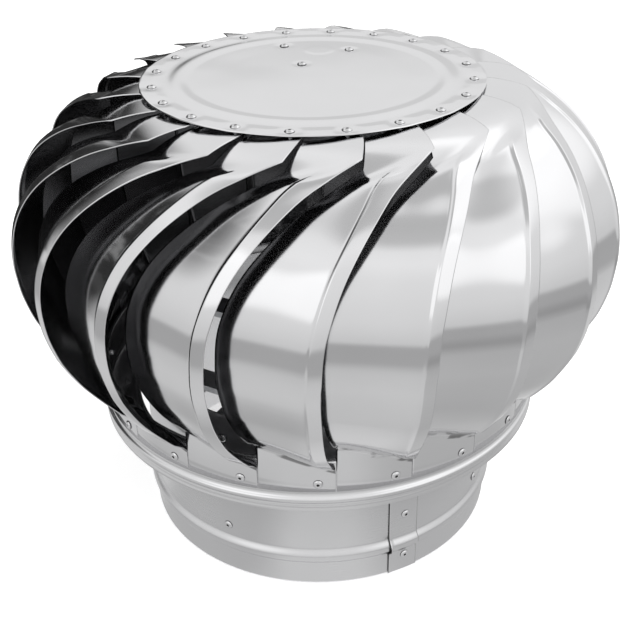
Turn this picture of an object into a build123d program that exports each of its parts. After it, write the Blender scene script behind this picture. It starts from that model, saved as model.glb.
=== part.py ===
from build123d import *

import math
import os

# Roof turbine ventilator: a twenty-blade rotor of thin stainless sheet turning on a vertical
# spindle in two ball bearings, carried by cross bars inside a round neck collar.
# Millimetres, +Z up, origin at the centre of the collar's bottom edge.
# Azimuths are seen from above, counted counter-clockwise from -Y.

os.makedirs("parts", exist_ok=True)

# ---------------------------------------------------------------- driving dimensions

# sheet and fits
neck_sheet = 0.6            # collar wall
ring_sheet = 0.7            # bottom ring wall
cap_sheet = 0.7             # cap disc
blade_sheet = 0.5           # blade strip
seat_gap = 0.04             # between two sheets that are riveted together
butt_gap = 0.4              # between neighbouring blade tabs and feet
hole_gap = 0.05             # round a rivet, a screw or the spindle inside its hole

# neck collar
neck_radius = 100.0         # outside
neck_height = 104.0
bead_height = 19.5          # middle of the swaged bead
bead_width = 11.0
bead_depth = 2.4
lap_azimuth = 21.0          # exposed edge of the lap seam
lap_width = 17.0
seam_rivet_inset = 9.5      # from the lap's exposed edge
seam_rivet_heights = (10.7, 39.2)

# blind rivets
rivet_radius = 1.2
rivet_head_radius = 2.5
rivet_head_height = 1.1
rivet_head_crown = 1.3      # radius of the flat on top of the head
rivet_tail = 2.2            # stands out behind the sheets

# cross bars
bar_azimuth = -30.0         # first arm; the other three follow at right angles
bar_width = 16.0
bar_sheet = 1.5
bar_lip = 4.0               # turned-down stiffening edges
bar_tab = 14.0              # bent-down end that is riveted to the collar
bar_pad_radius = 27.0       # round eye in the middle of each bar
lower_rivet_height = 31.0
upper_rivet_height = 89.0

# ball bearings and their cups
bearing_bore = 10.0
bearing_outside = 30.0
bearing_width = 9.0
inner_race_land = 7.6       # outside radius of the inner race
shield_gap = 0.1            # running clearance inside the shields
cup_sheet = 1.2
cup_lip = 3.6               # inward lip under the outer race
cup_flange = 9.0            # flange beyond the cup wall
cup_rivet_count = 4

# spindle stack
spindle_end = 8.0           # spindle below the nut
nut_flats = 16.0
nut_height = 7.0
washer_height = 1.6
stack_radius = 7.3          # washer, spacer and collar nose bear on the inner races only
spacer_radius = 6.6
collar_radius = 11.0
collar_height = 10.0
collar_nose = 1.2
screw_radius = 2.0

# rotor
blade_count = 20
cap_radius = 87.0
cap_height = 250.0          # top of the cap
cap_ridge_radius = 68.0
cap_ridge_width = 9.0
cap_ridge_height = 0.9
cap_rivet_radius = 80.7
cap_boss_radius = 15.0
tab_inner_radius = 74.0
ring_radius = 122.0         # outside of the ring's band
ring_floor_height = 76.0
ring_floor_radius = 103.8   # hole round the collar
ring_top_height = 100.0
ring_hem = 1.6
ring_bead = 1.8             # bead stands out past the band
ring_skirt_height = 70.5
ring_rivet_height = 87.0

# hub under the cap
hub_plate_radius = 62.0
hub_plate_sheet = 1.0
hub_boss_radius = 13.0
hub_boss_height = 24.0
hub_flange_radius = 17.5
hub_flange_height = 2.0
hub_rivets_at = ((20.0, -164.0), (55.4, -164.0), (48.0, 155.5))   # radius, azimuth

# blades: free edge outside, leading edge tucked inside the neighbour's free edge
belly_radius = 160.2
belly_height = 168.0
blade_tuck = 13.0           # leading edge inside the free edge at the belly
crease_height = 93.0        # where the free edge turns down on the ring
crease_rise = 14.0          # the leading end of that crease is this much higher
foot_height = 82.0
foot_azimuth = 3.4          # free edge of the first blade on the ring
top_swirl = 28.9            # the same edge at the cap runs this far ahead of its foot
foot_rivet_inset = 8.5      # rivet to free edge, on the ring
cap_rivet_inset = 5.5       # rivet to free edge, on the cap
leading_drop = 1.4          # leading side under the cap's edge
leading_droop = 20.0        # its slope there, degrees
top_fullness = 46.0         # handle lengths of the blade outline's four curves
shoulder_fullness = 30.0
hip_fullness = 17.5
foot_fullness = 28.0
foot_slope = 43.0           # degrees above the horizontal
rim_width = 5.5             # flat rim along the free edge
flank_width = 3.2           # sloping side of the stiffening joggle
joggle_depth = 1.9
blade_crown = 1.2           # the strip bows outwards between its edges
tab_crown = 0.2             # the same on the nearly flat tab at the cap

# ---------------------------------------------------------------- derived sizes

pitch = 360 / blade_count
neck_bore = neck_radius - neck_sheet
hole_radius = rivet_radius + hole_gap
lap_angle = math.degrees(lap_width / neck_radius)
seam_azimuth = lap_azimuth + math.degrees(seam_rivet_inset / neck_radius)
cap_under = cap_height - cap_sheet
tab_height = cap_under - seat_gap - tab_crown
foot_radius = ring_radius + seat_gap + blade_sheet
foot_rivet_azimuth = foot_azimuth - math.degrees(foot_rivet_inset / ring_radius)
spindle_radius = bearing_bore / 2
lower_seat = lower_rivet_height + bar_tab / 2     # underside of each pair of bars
upper_seat = upper_rivet_height + bar_tab / 2


def around(radius, azimuth, height=0.0):
    """Point at a radius and an azimuth counted from -Y."""
    turn = math.radians(azimuth)
    return Vector(radius * math.sin(turn), -radius * math.cos(turn), height)


def facing_out(radius, azimuth, height):
    """Plane on an upright wall: its Z points out of the wall, its X along it."""
    turn = math.radians(azimuth)
    outward = (math.sin(turn), -math.cos(turn), 0)
    along = (math.cos(turn), math.sin(turn), 0)
    return Plane(origin=around(radius, azimuth, height), x_dir=along, z_dir=outward)


def save(piece, name):
    """Label one finished sub-part and write it."""
    piece.label = name
    export_step(piece, f"parts/{name}.step")


# ---------------------------------------------------------------- rivets


def rivet(grip, tail=rivet_tail):
    """Rivet along +Z: head above Z = 0, shank through the grip, blind end below it."""
    with BuildPart() as one:
        with BuildSketch(Plane.XZ):
            with BuildLine():
                Polyline(
                    (0, rivet_head_height),
                    (rivet_head_crown, rivet_head_height),
                    (rivet_head_radius, 0),
                    (rivet_radius, 0),
                    (rivet_radius, -grip - tail),
                    (0, -grip - tail),
                    close=True,
                )
            make_face()
        revolve()
    return one.part


def rivet_group(shape, planes):
    """The same rivet on several planes, as one group of separate solids."""
    return Compound(children=[plane.location * shape for plane in planes])


# ---------------------------------------------------------------- neck collar


def collar_wall(inner, outer):
    """Half section of the collar wall between two radii, with its swaged bead."""
    low = bead_height - bead_width / 2
    high = bead_height + bead_width / 2
    with BuildSketch(Plane.XZ) as section:
        with BuildLine():
            Line((inner, 0), (outer, 0))
            Line((outer, 0), (outer, low))
            ThreePointArc((outer, low), (outer + bead_depth, bead_height), (outer, high))
            Polyline((outer, high), (outer, neck_height), (inner, neck_height), (inner, high))
            ThreePointArc((inner, high), (inner + bead_depth, bead_height), (inner, low))
            Line((inner, low), (inner, 0))
        make_face()
    return section.sketch


lower_bracket_planes = [
    facing_out(neck_radius, bar_azimuth + 90 * arm, lower_rivet_height) for arm in range(4)
]
upper_bracket_planes = [
    facing_out(neck_radius, bar_azimuth + 90 * arm, upper_rivet_height) for arm in range(4)
]
seam_planes = [
    facing_out(neck_radius + neck_sheet, seam_azimuth, height) for height in seam_rivet_heights
]

with BuildPart() as neck_collar:
    add(collar_wall(neck_bore, neck_radius))
    revolve()
    # the outer layer of the lap seam, from its exposed edge back over the wall
    lap = collar_wall(neck_radius, neck_radius + neck_sheet)
    add(lap.rotate(Axis.Z, lap_azimuth - 90))
    revolve(revolution_arc=lap_angle)
    for plane in lower_bracket_planes + upper_bracket_planes + seam_planes:
        with BuildSketch(plane.offset(-bar_width / 2)):
            Circle(hole_radius)
        extrude(amount=bar_width, mode=Mode.SUBTRACT)
save(neck_collar.part, "neck_collar")

# set flush inside, so that the duct slides past them
seam_rivet = rivet(2 * neck_sheet, tail=0)
save(rivet_group(seam_rivet, seam_planes), "neck_seam_rivets")

# ---------------------------------------------------------------- cross bars

bar_reach = neck_bore - seat_gap
cup_radius = bearing_outside / 2 + hole_gap + cup_sheet
cup_hole = cup_radius + hole_gap
cup_rivet_circle = cup_radius + cup_flange / 2


def cross_bar(seat, azimuth, stacked):
    """Pressed bar across the neck; the second bar of a pair lies on the first one's eye."""
    top = seat + (1 + stacked) * bar_sheet
    along = Plane(origin=(0, 0, top), x_dir=around(1, azimuth), z_dir=(0, 0, 1))
    depth = top - seat + bar_tab
    arm_start = bar_pad_radius + bar_width / 2
    arm_length = bar_reach - arm_start - bar_width / 2
    lips = [
        (end * (arm_start + arm_length / 2), side * (bar_width - bar_sheet) / 2)
        for end in (-1, 1)
        for side in (-1, 1)
    ]
    with BuildPart() as bar:
        # flat bar with its eye, cut to the round of the wall
        with BuildSketch(along):
            Rectangle(2 * neck_radius, bar_width)
            Circle(bar_pad_radius)
            Circle(bar_reach, mode=Mode.INTERSECT)
            Circle(cup_hole, mode=Mode.SUBTRACT)
        extrude(amount=-bar_sheet)
        # bent-down ends, curved like the wall they lie on
        with BuildSketch(along):
            Circle(bar_reach)
            Circle(bar_reach - bar_sheet, mode=Mode.SUBTRACT)
            Rectangle(2 * neck_radius, bar_width, mode=Mode.INTERSECT)
        extrude(amount=-depth)
        # turned-down edges stiffen each arm
        with BuildSketch(along):
            with Locations(*lips):
                Rectangle(arm_length, bar_sheet)
        extrude(amount=-bar_lip)
        for turn in (0, 180):
            wall = facing_out(bar_reach - bar_width, azimuth + turn, seat - bar_tab / 2)
            with BuildSketch(wall):
                Circle(hole_radius)
            extrude(amount=2 * bar_width, mode=Mode.SUBTRACT)
        with BuildSketch(along):
            with PolarLocations(cup_rivet_circle, cup_rivet_count, start_angle=45):
                Circle(hole_radius)
        extrude(amount=-bar_sheet, mode=Mode.SUBTRACT)
    return bar.part


for level, seat in (("lower", lower_seat), ("upper", upper_seat)):
    save(cross_bar(seat, bar_azimuth, 0), f"{level}_cross_bar_a")
    save(cross_bar(seat, bar_azimuth + 90, 1), f"{level}_cross_bar_b")

bracket_rivet = rivet(neck_sheet + seat_gap + bar_sheet)
save(rivet_group(bracket_rivet, lower_bracket_planes + upper_bracket_planes), "bracket_rivets")

# ---------------------------------------------------------------- bearing cups and races

outer_race_radius = bearing_outside / 2
shield_radius = inner_race_land + shield_gap


def bearing_floor(seat):
    """Height of the bearing's underside in the cup whose flange lies on the two bars."""
    return seat + 2 * bar_sheet + cup_sheet - bearing_width


def bearing_cup(seat):
    flange_top = seat + 2 * bar_sheet + cup_sheet
    floor = bearing_floor(seat)
    with BuildPart() as cup:
        with BuildSketch(Plane.XZ):
            with BuildLine():
                Polyline(
                    (cup_radius - cup_sheet, flange_top),
                    (cup_radius + cup_flange, flange_top),
                    (cup_radius + cup_flange, flange_top - cup_sheet),
                    (cup_radius, flange_top - cup_sheet),
                    (cup_radius, floor - cup_sheet),
                    (outer_race_radius - cup_lip, floor - cup_sheet),
                    (outer_race_radius - cup_lip, floor),
                    (cup_radius - cup_sheet, floor),
                    close=True,
                )
            make_face()
        revolve()
        with BuildSketch(Plane.XY.offset(flange_top - cup_sheet)):
            with PolarLocations(cup_rivet_circle, cup_rivet_count, start_angle=bar_azimuth - 45):
                Circle(hole_radius)
        extrude(amount=cup_sheet, mode=Mode.SUBTRACT)
    return cup.part


def race(inner, outer, floor):
    with BuildPart() as ring:
        with BuildSketch(Plane.XY.offset(floor)):
            Circle(outer)
            Circle(inner, mode=Mode.SUBTRACT)
        extrude(amount=bearing_width)
    return ring.part


for level, seat in (("lower", lower_seat), ("upper", upper_seat)):
    floor = bearing_floor(seat)
    save(bearing_cup(seat), f"{level}_bearing_cup")
    save(race(shield_radius, outer_race_radius, floor), f"{level}_outer_race")
    save(race(spindle_radius + hole_gap, inner_race_land, floor), f"{level}_inner_race")

cup_rivet = rivet(cup_sheet + 2 * bar_sheet)
cup_rivet_planes = [
    Plane(
        origin=around(
            cup_rivet_circle,
            bar_azimuth + 45 + 90 * corner,
            seat + 2 * bar_sheet + cup_sheet,
        )
    )
    for seat in (lower_seat, upper_seat)
    for corner in range(cup_rivet_count)
]
save(rivet_group(cup_rivet, cup_rivet_planes), "cup_rivets")

# ---------------------------------------------------------------- spindle stack

lower_floor = bearing_floor(lower_seat)
upper_floor = bearing_floor(upper_seat)
washer_floor = lower_floor - washer_height
nut_floor = washer_floor - nut_height
collar_floor = upper_floor + bearing_width
plate_under = cap_under - hub_plate_sheet
boss_floor = plate_under - hub_boss_height
tube_bore = spindle_radius + hole_gap

with BuildPart() as spindle:
    with BuildSketch(Plane.XY.offset(nut_floor - spindle_end)):
        Circle(spindle_radius)
    extrude(amount=plate_under - hole_gap - nut_floor + spindle_end)
    chamfer(spindle.faces().sort_by(Axis.Z)[0].edges(), spindle_radius / 5)
save(spindle.part, "spindle")

with BuildPart() as spindle_nut:
    with BuildSketch(Plane.XY.offset(nut_floor)):
        RegularPolygon(nut_flats / 2, 6, major_radius=False)
        Circle(tube_bore, mode=Mode.SUBTRACT)
    extrude(amount=nut_height)
save(spindle_nut.part, "spindle_nut")

with BuildPart() as spindle_washer:
    with BuildSketch(Plane.XY.offset(washer_floor)):
        Circle(stack_radius)
        Circle(tube_bore, mode=Mode.SUBTRACT)
    extrude(amount=washer_height)
save(spindle_washer.part, "spindle_washer")

with BuildPart() as spacer_tube:
    with BuildSketch(Plane.XY.offset(lower_floor + bearing_width)):
        Circle(spacer_radius)
        Circle(tube_bore, mode=Mode.SUBTRACT)
    extrude(amount=upper_floor - lower_floor - bearing_width)
save(spacer_tube.part, "spacer_tube")

collar_middle = collar_floor + collar_nose + collar_height / 2
with BuildPart() as thrust_collar:
    with BuildSketch(Plane.XY.offset(collar_floor)):
        Circle(stack_radius)
    extrude(amount=collar_nose)
    with BuildSketch(Plane.XY.offset(collar_floor + collar_nose)):
        Circle(collar_radius)
    extrude(amount=collar_height)
    with BuildSketch(Plane.XY.offset(collar_floor)):
        Circle(tube_bore)
    extrude(amount=collar_nose + collar_height, mode=Mode.SUBTRACT)
    with BuildSketch(Plane.XZ):
        with Locations((0, collar_middle)):
            Circle(screw_radius + hole_gap)
    extrude(amount=collar_radius, mode=Mode.SUBTRACT)
save(thrust_collar.part, "thrust_collar")


def set_screw(outer_radius, height):
    """Headless screw lying along -Y between the spindle and the outside of its collar."""
    with BuildPart() as screw:
        with BuildSketch(Plane.XZ.offset(spindle_radius + hole_gap)):
            with Locations((0, height)):
                Circle(screw_radius)
        extrude(amount=outer_radius - spindle_radius - 2 * hole_gap)
        with BuildSketch(Plane.XZ.offset(outer_radius - hole_gap)):
            with Locations((0, height)):
                RegularPolygon(screw_radius / 2, 6)
        extrude(amount=-screw_radius, mode=Mode.SUBTRACT)
    return screw.part


save(set_screw(collar_radius, collar_middle), "collar_screw")

# ---------------------------------------------------------------- hub under the cap

boss_middle = boss_floor + hub_boss_height / 3
with BuildPart() as hub_boss:
    with BuildSketch(Plane.XZ):
        with BuildLine():
            Polyline(
                (tube_bore, boss_floor),
                (hub_boss_radius, boss_floor),
                (hub_boss_radius, plate_under - hub_flange_height),
                (hub_flange_radius, plate_under - hub_flange_height),
                (hub_flange_radius, plate_under),
                (tube_bore, plate_under),
                close=True,
            )
        make_face()
    revolve()
    with BuildSketch(Plane.XZ):
        with Locations((0, boss_middle)):
            Circle(screw_radius + hole_gap)
    extrude(amount=hub_boss_radius, mode=Mode.SUBTRACT)
save(hub_boss.part, "hub_boss")
save(set_screw(hub_boss_radius, boss_middle), "hub_screw")

hub_rivet_planes = [
    Plane(origin=around(radius, azimuth, cap_height)) for radius, azimuth in hub_rivets_at
]
with BuildPart() as hub_plate:
    with BuildSketch(Plane.XY.offset(plate_under)):
        Circle(hub_plate_radius)
    extrude(amount=hub_plate_sheet)
    for plane in hub_rivet_planes:
        with BuildSketch(plane):
            Circle(hole_radius)
        extrude(amount=-cap_sheet - 2 * hub_plate_sheet, mode=Mode.SUBTRACT)
save(hub_plate.part, "hub_plate")
save(rivet_group(rivet(cap_sheet + hub_plate_sheet), hub_rivet_planes), "hub_rivets")

# ---------------------------------------------------------------- top cap

top_azimuth_inset = math.degrees(cap_rivet_inset / cap_rivet_radius)
top_azimuth = foot_azimuth + top_swirl
rim_rivet_azimuth = top_azimuth - top_azimuth_inset
rim_rivet_planes = [
    Plane(origin=around(cap_rivet_radius, rim_rivet_azimuth + number * pitch, cap_height))
    for number in range(blade_count)
]

ridge_in = cap_ridge_radius - cap_ridge_width / 2
ridge_out = cap_ridge_radius + cap_ridge_width / 2
with BuildPart() as top_cap:
    with BuildSketch(Plane.XZ):
        with BuildLine():
            Line((0, cap_height), (ridge_in, cap_height))
            ThreePointArc(
                (ridge_in, cap_height),
                (cap_ridge_radius, cap_height + cap_ridge_height),
                (ridge_out, cap_height),
            )
            Polyline(
                (ridge_out, cap_height),
                (cap_radius, cap_height),
                (cap_radius, cap_under),
                (ridge_out, cap_under),
            )
            ThreePointArc(
                (ridge_out, cap_under),
                (cap_ridge_radius, cap_under + cap_ridge_height),
                (ridge_in, cap_under),
            )
            Polyline((ridge_in, cap_under), (0, cap_under), (0, cap_height))
        make_face()
    revolve()
    for plane in rim_rivet_planes + hub_rivet_planes:
        with BuildSketch(plane):
            Circle(hole_radius)
        extrude(amount=-2 * cap_sheet, mode=Mode.SUBTRACT)
save(top_cap.part, "top_cap")
rim_grip = cap_height - tab_height + blade_sheet
save(rivet_group(rivet(rim_grip), rim_rivet_planes), "cap_rivets")

# ---------------------------------------------------------------- bottom ring

ring_rivet_planes = [
    facing_out(foot_radius + seat_gap, foot_rivet_azimuth + number * pitch, ring_rivet_height)
    for number in range(blade_count)
]
bead_crest = ring_floor_height + ring_sheet
bead_radius = ring_radius + ring_bead
with BuildPart() as bottom_ring:
    with BuildSketch(Plane.XZ):
        with BuildLine():
            Polyline(
                (bead_radius, bead_crest),
                (bead_radius - ring_sheet / 2, ring_skirt_height),
                (bead_radius - 1.5 * ring_sheet, ring_skirt_height),
                (bead_radius - 1.5 * ring_sheet, ring_floor_height - ring_sheet),
                (ring_floor_radius, ring_floor_height - ring_sheet),
                (ring_floor_radius, ring_floor_height),
                (ring_radius - ring_sheet, ring_floor_height),
                (ring_radius - ring_sheet, ring_top_height - 2 * ring_hem),
                (ring_radius - ring_hem, ring_top_height - 2 * ring_hem),
                (ring_radius - ring_hem, ring_top_height),
                (ring_radius, ring_top_height),
                (ring_radius, bead_crest + ring_bead),
            )
            RadiusArc(
                (ring_radius, bead_crest + ring_bead),
                (bead_radius, bead_crest),
                ring_bead,
            )
        make_face()
    revolve()
    for plane in ring_rivet_planes:
        with BuildSketch(plane):
            Circle(hole_radius)
        extrude(amount=-4 * ring_sheet, mode=Mode.SUBTRACT)
save(bottom_ring.part, "bottom_ring")
ring_grip = blade_sheet + 2 * seat_gap + ring_sheet
save(rivet_group(rivet(ring_grip), ring_rivet_planes), "ring_rivets")

# ---------------------------------------------------------------- blades


def outline(edge_height, droop, radius, crease):
    """Meridian of one blade edge as two curves: cap to belly, then belly to ring."""
    fall = math.radians(droop)
    rise = math.radians(foot_slope)
    cap_end = Vector(cap_radius, edge_height)
    belly = Vector(radius, belly_height)
    ring_end = Vector(foot_radius, crease)
    with BuildLine() as line:
        shoulder = Bezier(
            cap_end,
            cap_end + Vector(math.cos(fall), -math.sin(fall)) * top_fullness,
            belly + Vector(0, shoulder_fullness),
            belly,
        )
        hip = Bezier(
            belly,
            belly - Vector(0, hip_fullness),
            ring_end + Vector(math.cos(rise), math.sin(rise)) * foot_fullness,
            ring_end,
        )
    return shoulder, hip


free_outline = outline(tab_height, 0, belly_radius, crease_height)
leading_outline = outline(
    tab_height - leading_drop,
    leading_droop,
    belly_radius - blade_tuck,
    crease_height + crease_rise,
)

# share along the shoulder or hip curve, azimuth of the free edge from its foot, joggle share
shoulder_stations = (
    (0.155, 25.4, 0.0),
    (0.25, 15.6, 0.8),
    (0.36, 9.0, 1.0),
    (0.55, 1.9, 1.0),
    (0.78, -2.1, 1.0),
    (1.0, -3.1, 1.0),
)
hip_stations = (
    (0.35, -3.1, 1.0),
    (0.68, -2.3, 1.0),
    (0.88, -0.9, 0.8),
    (1.0, 0.0, 0.0),
)


def blade_section(free, leading, outward, slant, joggle, crown):
    """Closed section of the strip: flat rim, joggle flank and bowed face."""
    chord = leading - free
    width = chord.length
    across = chord.normalized()
    plane = Plane(origin=free, x_dir=across, z_dir=across.cross(outward))
    rim = rim_width / slant
    foot_of_flank = (rim_width + flank_width) / slant

    def bow(x):
        return 4 * crown * (x / width) * (1 - x / width)

    rest = width - foot_of_flank
    dip = bow(foot_of_flank) - joggle
    slope = 4 * crown / width * (1 - 2 * foot_of_flank / width)
    swell = bow(foot_of_flank) + slope * rest / 2 - joggle / 2
    with BuildSketch(plane) as section:
        with BuildLine():
            Polyline((0, 0), (rim, bow(rim)), (foot_of_flank, dip))
            Bezier(
                (foot_of_flank, dip),
                (foot_of_flank + rest / 2, swell),
                (width, 0),
            )
            Line((width, 0), (width, -blade_sheet))
            Bezier(
                (width, -blade_sheet),
                (foot_of_flank + rest / 2, swell - blade_sheet),
                (foot_of_flank, dip - blade_sheet),
            )
            Polyline(
                (foot_of_flank, dip - blade_sheet),
                (rim, bow(rim) - blade_sheet),
                (0, -blade_sheet),
                (0, 0),
            )
        make_face()
    return section.sketch


def edge_points(free_at, leading_at, azimuth):
    """Free and leading points of one station, given as (radius, height)."""
    own = foot_azimuth + azimuth
    gap = math.degrees(butt_gap / leading_at.X)
    free = around(free_at.X, own, free_at.Y)
    leading = around(leading_at.X, own - pitch + gap, leading_at.Y)
    return free, leading


stations = []
for outer, inner, shares in (
    (free_outline[0], leading_outline[0], shoulder_stations),
    (free_outline[1], leading_outline[1], hip_stations),
):
    for share, azimuth, joggle in shares:
        free, leading = edge_points(outer @ share, inner @ share, azimuth)
        tangent = outer % share
        middle = around(1, foot_azimuth + azimuth - pitch / 2)
        outward = middle * -tangent.Y + Vector(0, 0, tangent.X)
        stations.append((free, leading, outward, joggle))

# the bow of the foot is that of the ring that it lies on
foot_bow = foot_radius * (1 - math.cos(math.radians(pitch / 2)))
wall_out = around(1, foot_azimuth - pitch / 2)

# the free edge runs slantwise over most sections, so their rims are cut wider to match
slants = []
for number, (free, leading, _, _) in enumerate(stations):
    before = stations[max(number - 1, 0)][0]
    after = stations[min(number + 1, len(stations) - 1)][0]
    slants.append((leading - free).normalized().cross((after - before).normalized()).length)
kink_slant = slants[0]
foot_slant = slants[-1]

crowns = [tab_crown] + [blade_crown] * (len(stations) - 2) + [foot_bow]
body_sections = []
for (free, leading, outward, joggle), slant, crown in zip(stations, slants, crowns):
    facing = wall_out if crown == foot_bow else outward
    body_sections.append(
        blade_section(free, leading, facing, slant, joggle * joggle_depth, crown)
    )

tab_sections = []
for radius, drop in ((tab_inner_radius, 0), (cap_radius, leading_drop)):
    free, leading = edge_points(
        Vector(radius, tab_height),
        Vector(radius, tab_height - drop),
        top_swirl,
    )
    tab_sections.append(blade_section(free, leading, Vector(0, 0, 1), kink_slant, 0, tab_crown))

foot_free, foot_leading = edge_points(
    Vector(foot_radius, foot_height), Vector(foot_radius, foot_height), 0
)
foot_section = blade_section(foot_free, foot_leading, wall_out, foot_slant, 0, foot_bow)

with BuildPart() as first_blade:
    loft(sections=[*tab_sections, body_sections[0]], ruled=True)
    loft(sections=body_sections)
    loft(sections=[body_sections[-1], foot_section], ruled=True)
    with BuildSketch(facing_out(foot_radius, foot_rivet_azimuth, ring_rivet_height)):
        Circle(hole_radius)
    extrude(amount=2 * blade_sheet, both=True, mode=Mode.SUBTRACT)
    with BuildSketch(rim_rivet_planes[0]):
        Circle(hole_radius)
    extrude(amount=-2 * cap_sheet - blade_sheet, mode=Mode.SUBTRACT)

for number in range(blade_count):
    save(first_blade.part.rotate(Axis.Z, number * pitch), f"blade_{number + 1:02d}")
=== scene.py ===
# %% [markdown]
# # A roof turbine ventilator in polished sheet metal
# The real thing is thin stainless sheet: a round collar that slips on a duct, a rotor of
# twenty swirled blades riveted between a cap disc and a ring, and a spindle in two bearings.
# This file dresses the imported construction: the blades, cap, ring, collar and their rivets
# are shaped again with smooth walls, and what stays as built gets the metal it is made of.
# Sizes of the ventilator are written in millimetres, and those of the room in metres.

# %% Load the frame
import math
import random

import bmesh
import bpy
import numpy as np
from mathutils import Matrix, Vector


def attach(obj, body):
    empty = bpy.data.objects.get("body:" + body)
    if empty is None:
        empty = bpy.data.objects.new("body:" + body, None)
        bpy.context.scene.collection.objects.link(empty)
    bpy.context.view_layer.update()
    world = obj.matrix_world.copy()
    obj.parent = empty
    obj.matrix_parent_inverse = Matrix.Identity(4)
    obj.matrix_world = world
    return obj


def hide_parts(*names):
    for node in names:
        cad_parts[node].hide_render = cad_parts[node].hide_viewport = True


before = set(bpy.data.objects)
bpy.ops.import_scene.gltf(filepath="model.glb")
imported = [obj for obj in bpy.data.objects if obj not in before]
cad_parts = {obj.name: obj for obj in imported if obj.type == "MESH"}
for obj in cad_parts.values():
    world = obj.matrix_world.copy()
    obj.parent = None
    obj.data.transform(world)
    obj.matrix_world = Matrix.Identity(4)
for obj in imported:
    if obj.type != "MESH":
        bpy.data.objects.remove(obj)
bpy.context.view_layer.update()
MM = 0.001

# %% [markdown]
# ## The camera
# A product view: slightly above the rotor, looking down at it, with a normal lens.

# %% Camera
LENS_MM = 58.77
LOOK_DOWN = math.radians(30.56)
LOOK_ASIDE = math.radians(0.16)
TILT = math.radians(1.03)
CAMERA_PLACE = (0.0, -516.0 * MM, 411.3 * MM)

camera_data = bpy.data.cameras.new("camera")
camera_data.lens = LENS_MM
camera_data.sensor_width = 36.0
camera_data.clip_start = 0.01
camera = bpy.data.objects.new("camera", camera_data)
bpy.context.scene.collection.objects.link(camera)
ahead = Vector((
    math.sin(LOOK_ASIDE) * math.cos(LOOK_DOWN),
    math.cos(LOOK_ASIDE) * math.cos(LOOK_DOWN),
    -math.sin(LOOK_DOWN),
))
level = ahead.to_track_quat("-Z", "Y").to_matrix()
camera.matrix_world = (
    Matrix.Translation(CAMERA_PLACE)
    @ level.to_4x4()
    @ Matrix.Rotation(-TILT, 4, "Z")
)
bpy.context.scene.camera = camera
print("camera at", [round(x, 3) for x in camera.matrix_world.translation], "lens", LENS_MM, "mm")

# %% [markdown]
# ## Small helpers for shapes
# Azimuths are counted from the front, counter-clockwise from above. A helper turns a
# radius, an azimuth and a height into a point, and others spin a half section into a ring
# and put a finished mesh on its body.

# %% Shape helpers


def around(radius, azimuth, height=0.0):
    """Point at a radius (mm), an azimuth (degrees) and a height (mm), in metres."""
    turn = math.radians(azimuth)
    return Vector((radius * math.sin(turn), -radius * math.cos(turn), height)) * MM


def azimuth_of(point):
    """Azimuth of a point in degrees, 0 at the front."""
    return math.degrees(math.atan2(point.x, -point.y))


def smoothstep(low, high, value):
    """0 below low, 1 above high, and a soft step between."""
    t = min(max((value - low) / (high - low), 0.0), 1.0)
    return t * t * (3 - 2 * t)


def piece_from(bm, name, body, material, replaced=()):
    """Turn a bmesh into a named piece that rides on a body and stands for CAD nodes."""
    mesh = bpy.data.meshes.new(name)
    bm.to_mesh(mesh)
    bm.free()
    mesh.shade_smooth()
    piece = bpy.data.objects.new(name, mesh)
    bpy.context.scene.collection.objects.link(piece)
    piece.data.materials.append(material)
    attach(piece, body)
    if replaced:
        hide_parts(*replaced)
    return piece


def spun(points, steps=240, start=0.0, sweep=360.0):
    """Spin a half section of (radius, height) points, in mm, round the Z axis."""
    bm = bmesh.new()
    verts = [bm.verts.new(around(radius, start, height)) for radius, height in points]
    edges = [bm.edges.new(pair) for pair in zip(verts, verts[1:])]
    bmesh.ops.spin(
        bm,
        geom=verts + edges,
        cent=(0, 0, 0),
        axis=(0, 0, 1),
        angle=math.radians(sweep),
        steps=steps,
        use_merge=sweep == 360.0,
    )
    bmesh.ops.remove_doubles(bm, verts=bm.verts, dist=1e-7)
    return bm


def arc(centre, radius, start, end, steps):
    """Points of a small arc in a half section, angles in degrees."""
    turns = [math.radians(start + (end - start) * i / steps) for i in range(steps + 1)]
    return [
        (centre[0] + radius * math.cos(t), centre[1] + radius * math.sin(t)) for t in turns
    ]


def outwards(bm):
    """Turn every face outwards."""
    bmesh.ops.recalc_face_normals(bm, faces=bm.faces)


# %% [markdown]
# ## Shader maths as plain expressions
# A small class wraps a socket, so that a mask is written as arithmetic.

# %% Shader helpers


class Value:
    """One number that changes over a surface, as a node socket."""

    def __init__(self, tree, socket):
        self.tree = tree
        self.socket = socket

    def _math(self, operation, other, swap=False):
        node = self.tree.nodes.new("ShaderNodeMath")
        node.operation = operation
        pair = (other, self) if swap else (self, other)
        for place, item in zip(node.inputs, pair):
            if isinstance(item, Value):
                self.tree.links.new(item.socket, place)
            else:
                place.default_value = item
        return Value(self.tree, node.outputs[0])

    def __add__(self, other):
        return self._math("ADD", other)

    def __radd__(self, other):
        return self._math("ADD", other)

    def __sub__(self, other):
        return self._math("SUBTRACT", other)

    def __rsub__(self, other):
        return self._math("SUBTRACT", other, swap=True)

    def __mul__(self, other):
        return self._math("MULTIPLY", other)

    def __rmul__(self, other):
        return self._math("MULTIPLY", other)


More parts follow.
